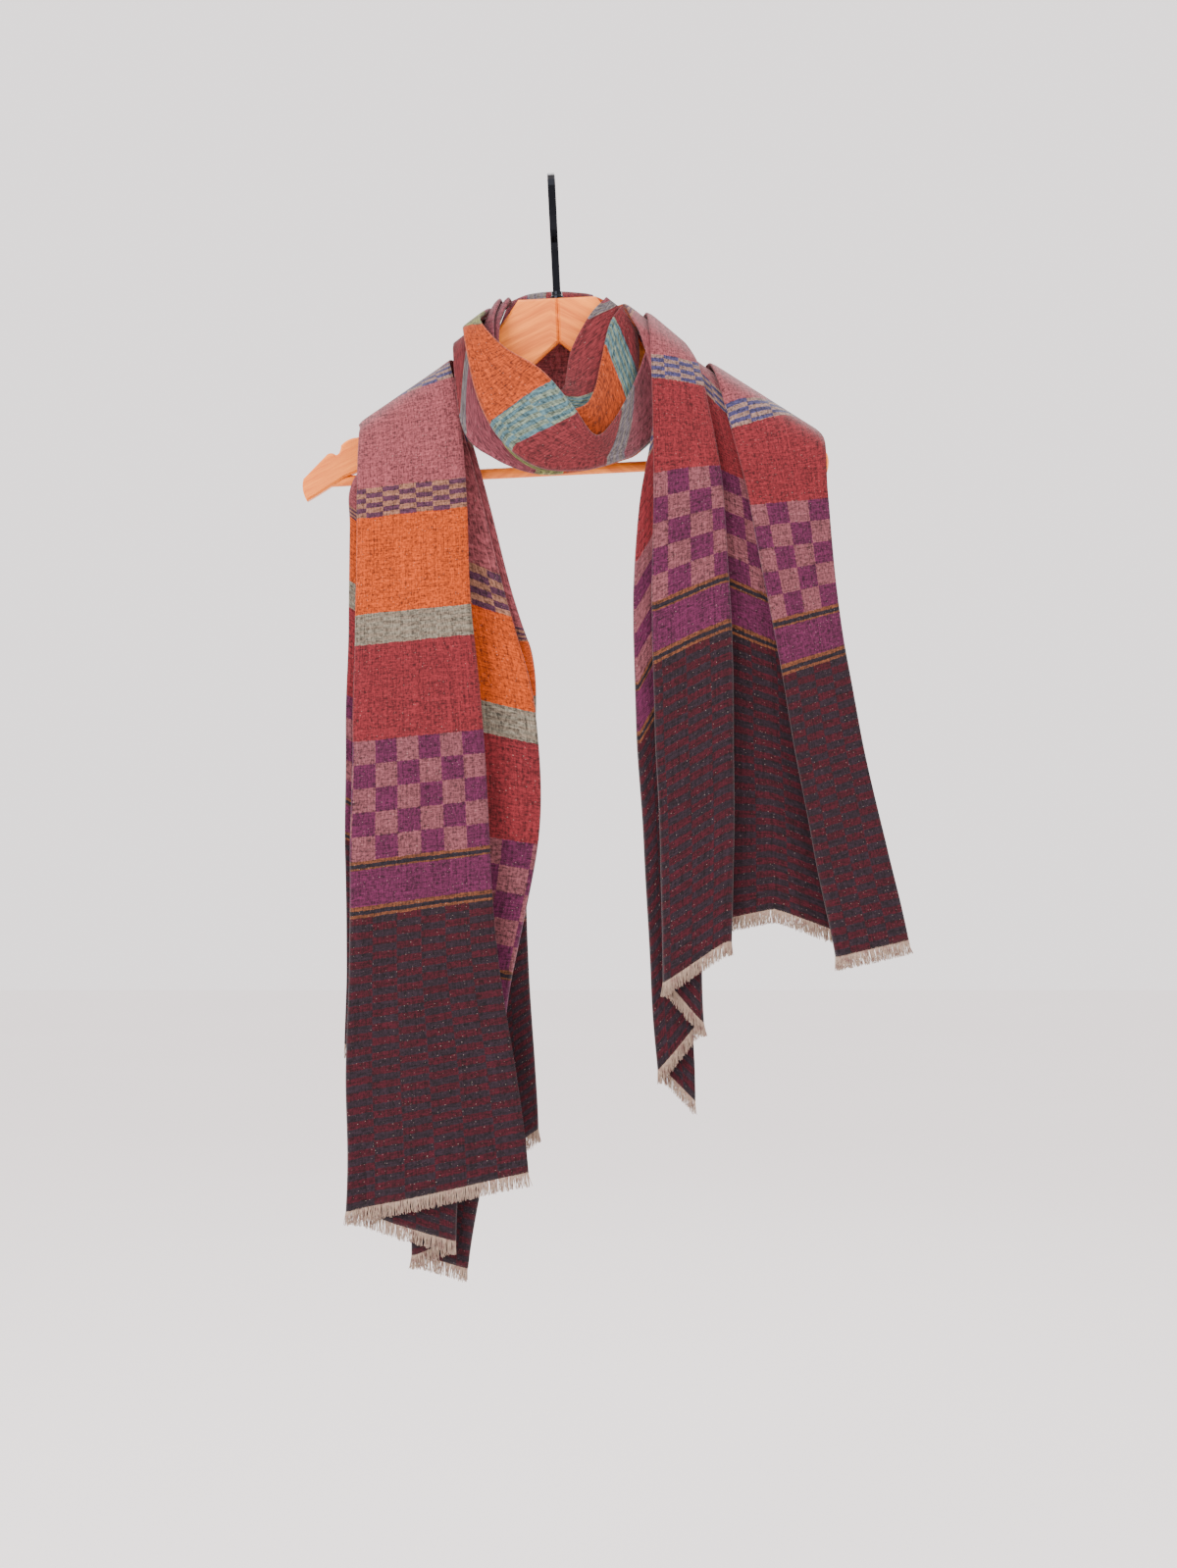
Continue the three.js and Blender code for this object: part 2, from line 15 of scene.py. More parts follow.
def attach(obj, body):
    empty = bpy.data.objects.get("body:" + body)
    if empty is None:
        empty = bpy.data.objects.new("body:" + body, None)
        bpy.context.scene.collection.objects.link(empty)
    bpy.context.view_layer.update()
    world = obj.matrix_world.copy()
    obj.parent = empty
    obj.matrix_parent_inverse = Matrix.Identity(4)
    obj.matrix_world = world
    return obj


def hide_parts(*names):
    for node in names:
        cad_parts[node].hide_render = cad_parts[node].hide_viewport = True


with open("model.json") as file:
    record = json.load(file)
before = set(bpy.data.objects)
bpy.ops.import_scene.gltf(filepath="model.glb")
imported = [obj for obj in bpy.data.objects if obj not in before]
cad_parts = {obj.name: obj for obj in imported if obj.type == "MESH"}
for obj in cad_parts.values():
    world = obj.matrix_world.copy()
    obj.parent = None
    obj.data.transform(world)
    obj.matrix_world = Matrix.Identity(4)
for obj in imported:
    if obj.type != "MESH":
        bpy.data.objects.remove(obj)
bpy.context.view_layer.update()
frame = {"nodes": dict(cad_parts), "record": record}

bl_info = {
    "name": "Pashmina shawl on a hanger",
    "version": (1, 0, 0),
    "blender": (4, 5, 0),
    "location": "3D View > Sidebar > Shawl",
    "description": "Builds a folded and wound shawl, its fringe and its wooden hanger",
    "category": "Object",
}

MM = 0.001
BODY = "root"

# ---- Fold tables --------------------------------------------------------------------------------
# `along`, `depth`, `lean` and `pitch` belong to the stations: the length along the stretch, the
# front layer's Y, the turn of the direction in which layers are stacked, and the layers' spacing.
# A fold's x and z have one value for each station, `layer` is the layer of the panel that follows,
# and `cloth` is the length on the whole cloth, from the left tail's hem, which places the bands.
LEFT_TAIL = {
    "softness": 1,
    "stations": {
        "name": ["hem", "dark", "check", "grey", "purple", "shoulder", "brow", "crest", "rear", "nape"],
        "along": [0, 240, 384, 490, 598, 662, 688, 712, 736, 790],
        "depth": [-66, -64, -60, -56, -49, -36, -25, 0, 26, 27],
        "lean": [0, 0, 0, 0, 4, 16, 48, 90, 132, 160],
        "pitch": [8.4, 7.8, 7, 6.2, 5, 3.8, 2.9, 2.5, 2.9, 3],
    },
    "folds": [
        {"fold": "front selvedge", "layer": 0,
         "x": [-19, -47, -56, -66, -71, -78, -84, -86, -80, -61],
         "z": [-841, -613, -471, -367, -260, -190, -166, -156, -153, -139],
         "cloth": [0, 240, 384, 490, 598, 662, 688, 712, 736, 790]},
        {"fold": "left front", "layer": 1,
         "x": [-172, -170, -167, -165, -164, -164, -164, -163, -126, -92],
         "z": [-875, -630, -482, -377, -271, -229, -218, -212, -229, -216],
         "cloth": [0, 240, 384, 490, 598, 645, 656, 664, 690, 745]},
        {"fold": "middle crease", "layer": 2,
         "x": [-77, -78, -78, -81, -87, -98, -108, -112, -96.5, -72],
         "z": [-901, -691, -517, -410, -303, -207, -181, -174, -180, -166],
         "cloth": [0, 240, 384, 490, 598, 662, 688, 712, 736, 790]},
        {"fold": "left inner", "layer": 3,
         "x": [-117, -116, -114, -114, -117, -124, -128, -130, -106, -79],
         "z": [-915, -700, -559, -447, -336, -219, -194, -187, -197, -184],
         "cloth": [0, 246, 380, 480, 584, 648, 674, 698, 724, 780]},
        {"fold": "right inner", "layer": 4,
         "x": [-68, -35, -8, -11, -38, -78, -91, -97, -88, -67],
         "z": [-927, -708, -564, -460, -350, -198, -170, -163.5, -167, -152],
         "cloth": [0, 254, 388, 488, 592, 656, 682, 706, 732, 788]},
        {"fold": "hidden left turn", "layer": 5,
         "x": [-110, -90, -72, -76, -96, -108, -112, -114, -99, -73],
         "z": [-872, -650, -530, -440, -354, -209, -184, -176, -184, -170],
         "cloth": [0, 262, 398, 498, 600, 664, 690, 714, 740, 796]},
        {"fold": "right rear", "layer": 6,
         "x": [-11, -18, -12, -13, -30, -74, -88, -92, -84.5, -65],
         "z": [-810, -602, -501, -418, -356, -196, -168, -160, -161, -148],
         "cloth": [0, 280, 420, 522, 628, 692, 718, 742, 766, 820]},
        {"fold": "rear selvedge",
         "x": [-175, -175, -172, -171, -168, -140, -128, -124, -103, -80],
         "z": [-739, -518, -385, -302, -258, -220, -195, -183, -193, -186],
         "cloth": [0, 300, 444, 550, 658, 722, 748, 772, 796, 850]},
    ],
}

RIGHT_TAIL = {
    "softness": 1,
    "stations": {
        "name": ["hem", "dark", "check", "blue", "shoulder", "brow", "crest", "rear", "nape"],
        "along": [0, 240, 384, 470, 505, 528, 548, 572, 640],
        "depth": [-62, -61, -60, -60, -50, -32, -2, 27, 44],
        "lean": [0, 0, 0, 4, 18, 52, 90, 130, 168],
        "pitch": [10, 8.5, 6, 4.2, 3.8, 3.2, 3, 3.3, 3.4],
    },
    "folds": [
        {"fold": "right selvedge", "layer": 0,
         "x": [300, 246, 232, 230, 229, 226, 222, 215, 118],
         "z": [-647, -409, -278, -240, -228, -220, -214, -221, -222],
         "cloth": [1797, 1557, 1413, 1372, 1359, 1349, 1339, 1319, 1237]},
        {"fold": "outer panel's left edge", "layer": 1,
         "x": [237, 191, 165, 148, 140, 136, 133, 124, 82],
         "z": [-662, -427, -284, -215, -180, -165, -157, -166, -178],
         "cloth": [1797, 1557, 1413, 1327, 1292, 1269, 1249, 1225, 1157]},
        {"fold": "hidden right turn", "layer": 2,
         "x": [262, 222, 196, 178, 168, 160, 154, 143, 90],
         "z": [-645, -415, -282, -226, -195, -180, -171, -179, -190],
         "cloth": [1797, 1557, 1413, 1347, 1317, 1297, 1282, 1257, 1187]},
        {"fold": "valley", "layer": 2,
         "x": [189, 181, 167, 150, 142, 136, 131, 121, 78],
         "z": [-622, -412, -275, -215, -181, -165, -156, -164, -170],
         "cloth": [1797, 1567, 1428, 1340, 1305, 1282, 1262, 1238, 1170]},
        {"fold": "step's left turn", "layer": 1,
         "x": [138, 138, 134, 124, 118, 112, 108, 99, 66],
         "z": [-632, -400, -270, -196, -164, -148, -139, -146, -148],
         "cloth": [1797, 1572, 1437, 1349, 1314, 1291, 1271, 1247, 1179]},
        {"fold": "step's right turn", "layer": 0,
         "x": [153, 153, 146, 134, 127, 121, 116, 107, 70],
         "z": [-650, -404, -272, -202, -169, -153, -144, -152, -156],
         "cloth": [1797, 1572, 1437, 1349, 1314, 1291, 1271, 1247, 1179]},
        {"fold": "left front", "layer": 1,
         "x": [94, 85, 84, 83, 82, 81, 80, 74, 50],
         "z": [-684, -419, -264, -172, -140, -125, -113, -116, -110],
         "cloth": [1797, 1559, 1420, 1327, 1292, 1269, 1249, 1225, 1157]},
        {"fold": "inner turn", "layer": 2,
         "x": [131, 122, 116, 108, 103, 98, 95, 87, 58],
         "z": [-719, -430, -275, -188, -154, -137, -125, -130, -126],
         "cloth": [1797, 1577, 1433, 1347, 1312, 1289, 1269, 1245, 1177]},
        {"fold": "left rear", "layer": 3,
         "x": [89, 70, 72, 86, 75, 69, 65, 57, 38],
         "z": [-760, -440, -290, -190, -136, -116, -101, -100, -94],
         "cloth": [1797, 1518, 1374, 1288, 1253, 1230, 1210, 1186, 1118]},
        {"fold": "rear selvedge",
         "x": [121, 120, 112, 106, 96, 88, 82, 75, 46],
         "z": [-786, -460, -300, -206, -156, -131, -115, -118, -110],
         "cloth": [1797, 1512, 1368, 1282, 1247, 1224, 1204, 1180, 1112]},
    ],
}

COWL_FRONT = {
    "stations": {
        "name": ["right", "r2", "r3", "r4", "middle", "l3", "l2", "l1", "brow", "crest", "rear", "nape"],
        "along": [0, 25, 50, 75, 105, 145, 185, 225, 260, 285, 310, 350],
        "depth": [-29, -37, -54, -76, -92, -91, -80, -63, -44, -8, 39, 51.5],
        "lean": [0, 0, 0, 0, 0, 0, 0, 6, 30, 90, 140, 172],
        "pitch": [3, 3.6, 4.4, 5.4, 6.2, 6, 5, 3.8, 2.9, 2.9, 3.9, 4.2],
    },
    "folds": [
        {"fold": "lower selvedge", "layer": 4,
         "x": [94.1, 90.4, 72.2, 55.9, 32.2, -4.1, -40.6, -67.9, -73.8, -73.7, -67.1, -50.4],
         "z": [-162, -208.8, -234.1, -240.2, -247.4, -247.4, -233.7, -206.5, -138.9, -133, -127.5, -132.8],
         "cloth": [1080, 1100, 1130, 1155, 1190, 1232, 1275, 1325, 1395, 1425, 1445, 1485]},
        {"fold": "lower edge", "layer": 3,
         "x": [101, 95, 74, 58, 29, -10, -47, -74, -84, -83, -76, -55],
         "z": [-172, -213, -238, -247, -256, -259, -245, -218, -147, -142, -137, -145],
         "cloth": [1075, 1095, 1125, 1150, 1185, 1227, 1270, 1320, 1390, 1420, 1440, 1480]},
        {"fold": "hidden lower turn", "layer": 2,
         "x": [90.1, 86.8, 70.2, 54.1, 33.6, -2, -32.6, -53.9, -60.8, -62.1, -57.7, -46.6],
         "z": [-155.3, -199.9, -224.1, -233.1, -242.4, -241.7, -219, -179.8, -128.3, -121.7, -117.1, -122],
         "cloth": [1005, 1025, 1052, 1076, 1110, 1151, 1188, 1235, 1295, 1328, 1351, 1390]},
        {"fold": "main fold's lower edge", "layer": 0,
         "x": [98, 92, 72, 56, 30, -9, -40, -61, -73, -73, -68, -52],
         "z": [-168, -214, -239, -248, -257, -255, -232, -193, -137, -132, -128, -136],
         "cloth": [935, 955, 980, 1002, 1036, 1075, 1107, 1150, 1200, 1235, 1262, 1300]},
        {"fold": "neck edge", "layer": 1,
         "x": [83, 75, 66, 52, 37, 18, -7, -39, -59, -53, -48, -38],
         "z": [-144, -168, -190, -216, -229, -204, -174, -152, -127, -113, -107, -100],
         "cloth": [950, 975, 1004, 1026, 1062, 1104, 1132, 1176, 1212, 1240, 1265, 1300]},
        {"fold": "hollow's turn",
         "x": [89.4, 79.2, 67.5, 53.5, 34.1, 12.4, -12.9, -44.7, -68.8, -61.7, -56.3, -42.3],
         "z": [-154.2, -179.3, -201.9, -227.9, -240.6, -214.6, -184.4, -162.6, -134, -121.3, -115.7, -111.2],
         "cloth": [960, 985, 1012, 1034, 1070, 1112, 1140, 1184, 1220, 1248, 1273, 1308]},
    ],
}

COWL_INNER = {
    "stations": {
        "name": ["right", "r2", "r3", "r4", "middle", "l3", "l2", "l1", "brow", "crest", "rear"],
        "along": [0, 25, 50, 75, 105, 145, 185, 225, 260, 285, 310],
        "depth": [-18, -23, -34, -48, -62, -70, -62, -45, -27, -2, 21],
        "lean": [0, 0, 0, 0, 0, 0, 0, 6, 30, 90, 100],
        "pitch": [2.8, 3.4, 3.8, 4.6, 5.4, 5.4, 4.6, 3.6, 2.8, 2.3, 2.5],
    },
    "folds": [
        {"fold": "hollow's seam", "layer": 0,
         "x": [63, 74, 73, 63, 42, 12, -22, -52, -57, -47.6, -47.3],
         "z": [-118, -140, -176, -213, -237, -231, -197, -178, -135, -108.2, -108.3],
         "cloth": [1050, 1075, 1100, 1130, 1165, 1190, 1210, 1235, 1262, 1285, 1300]},
        {"fold": "second neck fold", "layer": 1,
         "x": [60, 50, 43, 38, 29, 10, -13, -42, -48, -44, -42.5],
         "z": [-112, -128, -160, -184, -201, -203, -178, -160, -126, -104.5, -103.5],
         "cloth": [1070, 1107, 1133, 1160, 1185, 1200, 1215, 1240, 1268, 1290, 1305]},
        {"fold": "inner turn", "layer": 2,
         "x": [62.2, 68, 65.5, 57.5, 40.2, 10, -19.8, -49.5, -54.8, -46.7, -46.1],
         "z": [-116.5, -137, -170.5, -199, -218.2, -218.8, -190, -173.5, -132.8, -107.3, -107.1],
         "cloth": [1040, 1075, 1100, 1125, 1150, 1175, 1200, 1232, 1265, 1288, 1303]},
        {"fold": "third neck fold", "layer": 3,
         "x": [47, 33, 18, 14, 12, 3, -14, -41, -44, -40, -38],
         "z": [-104, -120, -150, -172, -184, -190, -175, -157, -122, -100.5, -99],
         "cloth": [985, 1012, 1040, 1062, 1080, 1110, 1150, 1215, 1275, 1296, 1310]},
        {"fold": "inner selvedge",
         "x": [57.4, 59.6, 53.8, 46.5, 32.8, 7.6, -19.2, -48.2, -52.4, -44.9, -44],
         "z": [-113.1, -133, -165.6, -192.8, -210, -212.1, -187.4, -170.6, -130.4, -105.5, -105],
         "cloth": [990, 1018, 1046, 1070, 1090, 1120, 1160, 1222, 1280, 1300, 1314]},
    ],
}

OUTER_WRAP = {
    "stations": {
        "name": ["left", "back left", "middle", "back right", "right"],
        "along": [0, 35, 75, 115, 150],
        "depth": [51.5, 67, 71, 66, 47],
        "lean": [172, 178, 180, 178, 168],
        "pitch": [3.6, 4.2, 4.6, 4.2, 3.4],
    },
    "folds": [
        {"fold": "inner selvedge", "layer": 3,
         "x": [-54.4, -26, 4, 34, 63.5],
         "z": [-146, -151, -154, -152, -150],
         "cloth": [1292, 1312, 1345, 1390, 1430]},
        {"fold": "top edge", "layer": 0,
         "x": [-36.8, -20, 4, 26, 35.6],
         "z": [-100, -91, -88, -90, -94],
         "cloth": [1292, 1312, 1345, 1390, 1430]},
        {"fold": "pleat's lower turn", "layer": 1,
         "x": [-50.6, -25, 5, 34, 58],
         "z": [-136, -139, -143, -142, -140],
         "cloth": [1292, 1312, 1345, 1390, 1430]},
        {"fold": "pleat's upper turn", "layer": 2,
         "x": [-46, -23, 5, 33, 52],
         "z": [-124, -126, -128, -128, -126],
         "cloth": [1292, 1312, 1345, 1390, 1430]},
        {"fold": "lower edge", "layer": 3,
         "x": [-65.8, -29, 6, 42, 82],
         "z": [-176, -196, -206, -204, -188],
         "cloth": [1292, 1312, 1345, 1390, 1430]},
        {"fold": "lower selvedge",
         "x": [-59.6, -28, 6, 40, 71],
         "z": [-160, -166, -170, -170, -167],
         "cloth": [1292, 1312, 1345, 1390, 1430]},
    ],
}

INNER_WRAP = {
    "stations": {
        "name": ["left", "back left", "middle", "back right", "right"],
        "along": [0, 35, 75, 115, 140],
        "depth": [27, 39, 42, 38, 29],
        "lean": [160, 176, 180, 178, 172],
        "pitch": [3.2, 3.8, 4.2, 3.8, 3],
    },
    "folds": [
        {"fold": "inner selvedge", "layer": 3,
         "x": [-72, -28, 4, 32, 52],
         "z": [-169, -175, -178, -172, -166],
         "cloth": [920, 935, 955, 975, 990]},
        {"fold": "top edge", "layer": 0,
         "x": [-59.8, -28, 4, 30, 46],
         "z": [-139, -120, -112, -116, -124],
         "cloth": [920, 935, 955, 975, 990]},
        {"fold": "pleat's lower turn", "layer": 1,
         "x": [-67.5, -28, 4, 31, 50],
         "z": [-158, -159, -158, -156, -154],
         "cloth": [920, 935, 955, 975, 990]},
        {"fold": "pleat's upper turn", "layer": 2,
         "x": [-62.7, -28, 4, 31, 49],
         "z": [-146, -145, -144, -144, -144],
         "cloth": [920, 935, 955, 975, 990]},
        {"fold": "lower edge",
         "x": [-86.1, -30, 4, 34, 56],
         "z": [-204, -216, -218, -206, -188],
         "cloth": [920, 935, 955, 975, 990]},
    ],
}

# ---- Cloth design -------------------------------------------------------------------------------
# Each end of the cloth has a border, and between the borders six bands repeat. Widths are in mm
# along the cloth, colours are sRGB: the face is what the tails show, the reverse what the neck shows.
CLOTH_LENGTH = 1797
BORDER = 384
CYCLE = 316
CYCLE_START = 465  # where a cycle begins, counted from the left tail's hem
BORDER_BANDS = [  # name, first mm, face colour, reverse colour
    ("brick", 0, "brick red", "brick red"),
    ("hem side stripe", 240, "ochre", "ochre"),
    ("magenta", 248, "magenta", "magenta"),
    ("inner stripe", 278, "ochre", "ochre"),
    ("checker", 286, "magenta", "magenta"),
]
CYCLE_BANDS = [
    ("dashed grey", 0, "grey", "teal"),
    ("orange", 25, "orange", "rust"),
    ("bricked purple", 108, "sand", "lime"),
    ("mauve", 133, "mauve", "plum"),
    ("bricked blue", 213, "beige", "ash"),
    ("red", 234, "red", "rose"),
]
COLOURS = {
    "brick red": "300610", "slate": "191219", "ochre": "532e1b", "magenta": "45142f", "tan": "64383c",
    "grey": "645d51", "orange": "96380a", "sand": "714c3c", "purple": "361830", "mauve": "71373c",
    "beige": "6f564d", "blue": "25274c", "red": "601a1f", "teal": "3c545a", "rust": "88330e",
    "lime": "6d6f43", "plum": "632e36", "ash": "5c5451", "rose": "591d21", "yellow": "7e7c4e",
    "nep": "b8a79a",
}
STRIPE_EDGE = 2.4  # mm of ochre on each side of a hem stripe's slate core
BRICK = (19.0, 6.0)  # mm across and along the cloth, as are the next two
CHECK = (18.5, 19.6)
DASH = 17.0
# First and last mm in a cycle, height of a row, and the share and name of its dye, face then reverse.
DASHED_BANDS = [
    {"from": 0.0, "to": 25.0, "row": 3.1, "shares": (0.2, 0.32), "dyes": ("ochre", "yellow")},
    {"from": 108.0, "to": 133.0, "row": 4.2, "shares": (0.9, 0.4), "dyes": ("purple", "purple")},
    {"from": 213.0, "to": 234.0, "row": 3.6, "shares": (0.9, 0.3), "dyes": ("blue", "blue")},
]


def colour(text):
    """A linear RGBA colour from an sRGB one in hexadecimal."""
    parts = [int(text[i:i + 2], 16) / 255 for i in (0, 2, 4)]
    return [c / 12.92 if c < 0.04045 else ((c + 0.055) / 1.055) ** 2.4 for c in parts] + [1.0]


def dye(name):
    """A linear RGBA colour of the cloth's yarns."""
    return colour(COLOURS[name])


# ---- Settings -----------------------------------------------------------------------------------
class ShawlSettings(bpy.types.PropertyGroup):
    """What a user would change on the shawl."""

    wall: bpy.props.FloatProperty(
        name="Cloth thickness", description="Thickness of the twill", default=0.0009, unit="LENGTH")
    step: bpy.props.FloatProperty(
        name="Row step", description="Spacing of the rows of faces along the cloth",
        default=0.006, unit="LENGTH")
    ripple: bpy.props.FloatProperty(
        name="Ripple depth", description="Depth of the soft troughs that run down the tails",
        default=0.006, unit="LENGTH")
    strands: bpy.props.IntProperty(
        name="Fringe strands", description="Yarn ends along each hem", default=1800, min=50)
    strand_length: bpy.props.FloatProperty(
        name="Fringe length", description="Length of the yarn ends", default=0.0135, unit="LENGTH")
    sheen: bpy.props.FloatProperty(
        name="Nap", description="Sheen of the wool's nap", default=0.14, min=0, max=1)


class HangerSettings(bpy.types.PropertyGroup):
    """What a user would change on the hanger."""

    wood_light: bpy.props.FloatVectorProperty(
        name="Early wood", description="Pale part of the grain", subtype="COLOR", size=4,
        default=colour("f78a26"))
    wood_dark: bpy.props.FloatVectorProperty(
        name="Late wood", description="Dark part of the grain", subtype="COLOR", size=4,
        default=colour("cb6012"))
    metal: bpy.props.FloatVectorProperty(
        name="Metal", description="Colour of the hook and ferrule", subtype="COLOR", size=4,
        default=colour("1b1c20"))


class StageSettings(bpy.types.PropertyGroup):
    """The floor and the lights."""

    floor: bpy.props.FloatProperty(
        name="Floor height", description="Z of the floor", default=-1.35, unit="LENGTH")
    key: bpy.props.FloatProperty(name="Key light", description="Power in watts", default=88)
    fill: bpy.props.FloatProperty(name="Fill light", description="Power in watts", default=18)


# ---- Folded cloth -------------------------------------------------------------------------------
PANEL_STEP = 5.0  # mm between columns across a flat panel
TURN_STEPS = 6  # faces round one fold
LEAST_STEPS = 4  # faces across the narrowest panel
SOFTNESS = 4.5  # mm over which a tail's folds are rounded off
NEAR = 2.5  # how many times that distance still counts


def through(knots, values, at):
    """A smooth value at `at` through values that stand at the given knots."""
    i = 0
    while i < len(knots) - 2 and at > knots[i + 1]:
        i += 1

    def slope(k):
        before, after = max(k - 1, 0), min(k + 1, len(knots) - 1)
        return (values[after] - values[before]) / (knots[after] - knots[before])

    span = knots[i + 1] - knots[i]
    t = (at - knots[i]) / span
    rise = (t ** 3 - 2 * t * t + t) * span * slope(i) + (t ** 3 - t * t) * span * slope(i + 1)
    return (2 * t ** 3 - 3 * t * t + 1) * values[i] + (3 * t * t - 2 * t ** 3) * values[i + 1] + rise


def panel_steps(stretch):
    """Faces across each panel, from its mean width."""
    folds = stretch["folds"]
    steps = []
    for a, b in zip(folds, folds[1:]):
        widths = [math.hypot(p - q, r - s) for p, q, r, s in zip(a["x"], b["x"], a["z"], b["z"])]
        mean = sum(widths) / len(widths)
        steps.append(max(LEAST_STEPS, round(mean / PANEL_STEP)))
    return steps


def section(stretch, at, steps):
    """The cloth's middle line across a stretch: a list of (point, length on the cloth) in mm."""
    stations, folds = stretch["stations"], stretch["folds"]
    along = stations["along"]
    angle = math.radians(through(along, stations["lean"], at))
    pitch = through(along, stations["pitch"], at)
    front = through(along, stations["depth"], at)
    bases = [Vector((through(along, f["x"], at), front, through(along, f["z"], at))) for f in folds]
    cloth = [through(along, f["cloth"], at) for f in folds]
    line = (bases[1] - bases[0]).normalized()
    stack = Vector((0, math.cos(angle), -math.sin(angle)))
    stack = (stack - line * stack.dot(line)).normalized()
    layers = [f.get("layer") for f in folds]
    last = len(bases) - 1
    layers[last] = layers[last - 1]
    points = []
    for i, base in enumerate(bases):
        before = base + stack * pitch * (layers[i - 1] if i else layers[0])
        after = base + stack * pitch * layers[i]
        out = (base - bases[i - 1]).normalized() if i else None
        turns = 0 < i < last and layers[i] != layers[i - 1]
        if i:
            start = before - out * (pitch / 2 if turns else 0)
            previous, from_cloth = points[-1]
            for k in range(1, steps[i - 1]):
                share = k / steps[i - 1]
                reach = from_cloth + (cloth[i] - from_cloth) * share
                points.append((previous.lerp(start, share), reach))
        if not turns:
            points.append((before, cloth[i]))
            continue
        radius = (after - before).length / 2
        across = (after - before).normalized()
        middle = before.lerp(after, 0.5) - out * radius
        for k in range(TURN_STEPS + 1):
            turn = -math.pi / 2 + math.pi * k / TURN_STEPS
            place = middle + out * radius * math.cos(turn) + across * radius * math.sin(turn)
            points.append((place, cloth[i]))
    return points


def softened(points, reach):
    """The points of a section with its folds rounded off over a reach in mm."""
    lengths = [0.0]
    for (a, _), (b, _) in zip(points, points[1:]):
        lengths.append(lengths[-1] + (b - a).length)
    last = len(points) - 1
    rounded = []
    for i, (place, cloth) in enumerate(points):
        here = lengths[i]
        spread = min(reach, here / NEAR, (lengths[last] - here) / NEAR)
        total, weights = Vector(), 0.0
        for j, (other, _) in enumerate(points):
            away = abs(lengths[j] - here)
            if away < NEAR * spread:
                share = lengths[min(j + 1, last)] - lengths[max(j - 1, 0)]
                weight = share * math.exp(-0.5 * (away / spread) ** 2)
                total += other * weight
                weights += weight
        rounded.append((total / weights if weights else place, cloth))
    return rounded


def ripple(point, depth):
    """How far the soft folds move the cloth at a point in mm, the same for every layer there."""
    x, _, z = point
    fade = min(1, max(0.3, (-z - 190) / 240))  # least on the shoulders, full from mid-tail down
    drape = noise.noise(Vector((x * 0.024 + 0.0016 * z, 3.7, z * 0.0034)))
    small = noise.noise(Vector((x * 0.055, 9.1, z * 0.014)))
    sway = noise.noise(Vector((x * 0.008, 21.3, z * 0.0105)))
    return Vector((0.45 * depth * fade * sway, -depth * fade * (drape + 0.35 * small), 0))


def sheet_grid(stretch, step, depth):
    """Rows of (point, length on the cloth) down a stretch, with its ripples, in mm."""
    along = stretch["stations"]["along"]
    count = max(8, round((along[-1] - along[0]) / step))
    steps = panel_steps(stretch)
    rows = []
    for r in range(count + 1):
        row = section(stretch, along[0] + (along[-1] - along[0]) * r / count, steps)
        row = softened(row, SOFTNESS * stretch.get("softness", 0))
        rows.append([(p + ripple(p, depth), v) for p, v in row])
    return rows


def mean_widths(rows):
    """For each column, the width of cloth to its left, averaged over the rows."""
    totals = [0.0]
    for c in range(1, len(rows[0])):
        gaps = [(row[c][0] - row[c - 1][0]).length for row in rows]
        totals.append(totals[-1] + sum(gaps) / len(gaps))
    return totals


def cloth_piece(name, stretch, settings, reverse):
    """One stretch of the shawl: a thin sheet on its solid's form."""
    rows = sheet_grid(stretch, settings.step / MM, settings.ripple / MM)
    widths = mean_widths(rows)
    columns = len(widths)
    vertices = [tuple(p * MM) for row in rows for p, _ in row]
    faces = [(r * columns + c, (r + 1) * columns + c, (r + 1) * columns + c + 1, r * columns + c + 1)
             for r in range(len(rows) - 1) for c in range(columns - 1)]
    mesh = bpy.data.meshes.new(name)
    mesh.from_pydata(vertices, [], faces)
    layer = mesh.uv_layers.new(name="Cloth")
    for loop in mesh.loops:
        r, c = divmod(loop.vertex_index, columns)
        layer.data[loop.index].uv = (widths[c] * MM, rows[r][c][1] * MM)
    mesh.shade_smooth()
    piece = bpy.data.objects.new(name, mesh)
    bpy.context.collection.objects.link(piece)
    wall = piece.modifiers.new("Wall", "SOLIDIFY")
    wall.thickness = settings.wall
    wall.offset = 0
    wall.use_quality_normals = True
    piece.data.materials.append(twill("shawl_reverse" if reverse else "shawl_face", settings, reverse))
    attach(piece, BODY)
    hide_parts("shawl_" + name)
    return piece


# ---- Fringe -------------------------------------------------------------------------------------
YARN_RADIUS = 0.47  # mm at the root
YARN_SIDES = 3
YARN_JOINTS = 4
YARN_ROOT = 1.2  # mm that a yarn end reaches into the hem
LIFT = 12  # mm above the hem of the line that gives the yarn's direction


